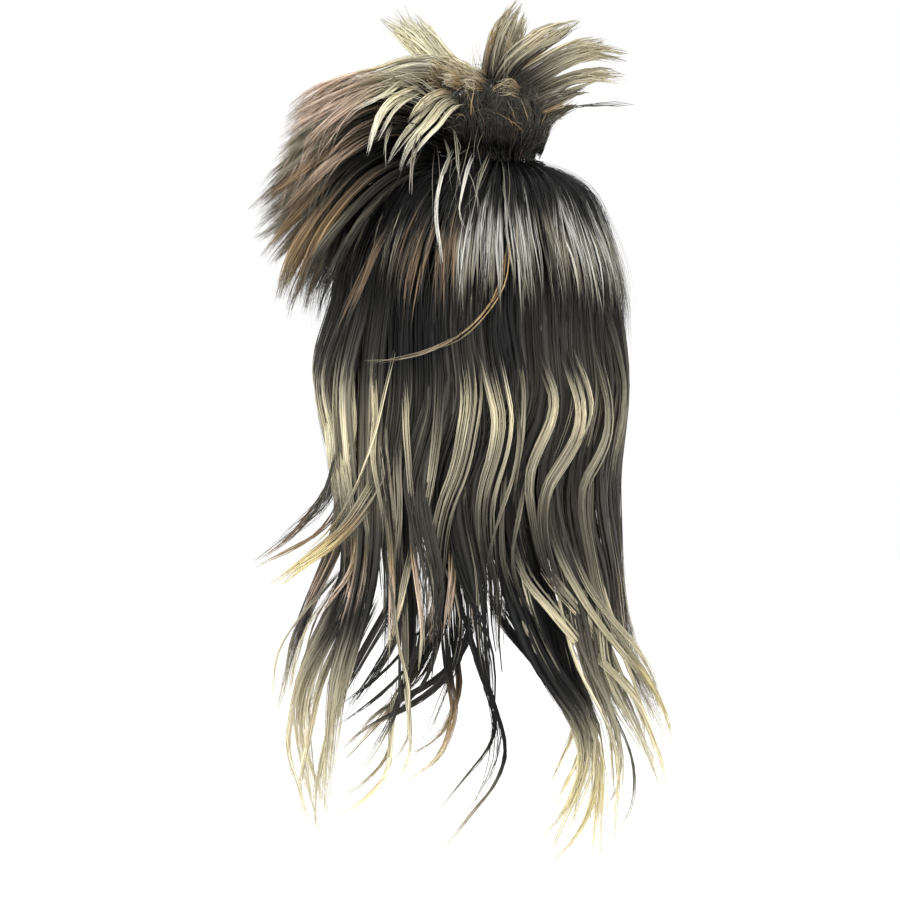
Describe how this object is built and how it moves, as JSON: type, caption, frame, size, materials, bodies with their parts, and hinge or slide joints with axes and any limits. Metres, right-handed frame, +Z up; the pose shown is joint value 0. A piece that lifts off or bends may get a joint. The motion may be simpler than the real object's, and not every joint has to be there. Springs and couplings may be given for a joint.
{
  "type": "long spiky wig",
  "caption": "Long streaked wig: a net cap with short dark hair on the crown, long parted hair below it, a spiky tuft on top and a swept fringe.",
  "frame": {"origin": "crown of the hollow that the head fills, on the inside of the cap", "axes": "+Z up, -X the way the face looks, -Y the near side in the front elevation"},
  "size_m": [0.2926, 0.1896, 0.5961],
  "materials": {
    "cap_net": "matt net",
    "dark_hair": "silky fibre",
    "streaked_hair": "silky fibre in dark and blonde streaks"
  },
  "bodies": {
    "root": {"cap": "cap_net", "short_hair": "dark_hair", "long_hair_near": "streaked_hair", "long_hair_far": "streaked_hair", "crown_tuft": "streaked_hair", "fringe_upper": "streaked_hair", "fringe_middle": "streaked_hair", "fringe_lower": "streaked_hair", "cheek_flick_near": "streaked_hair", "jaw_flick_near": "streaked_hair", "cheek_flick_far": "streaked_hair", "jaw_flick_far": "streaked_hair"}
  },
  "joints": []
}
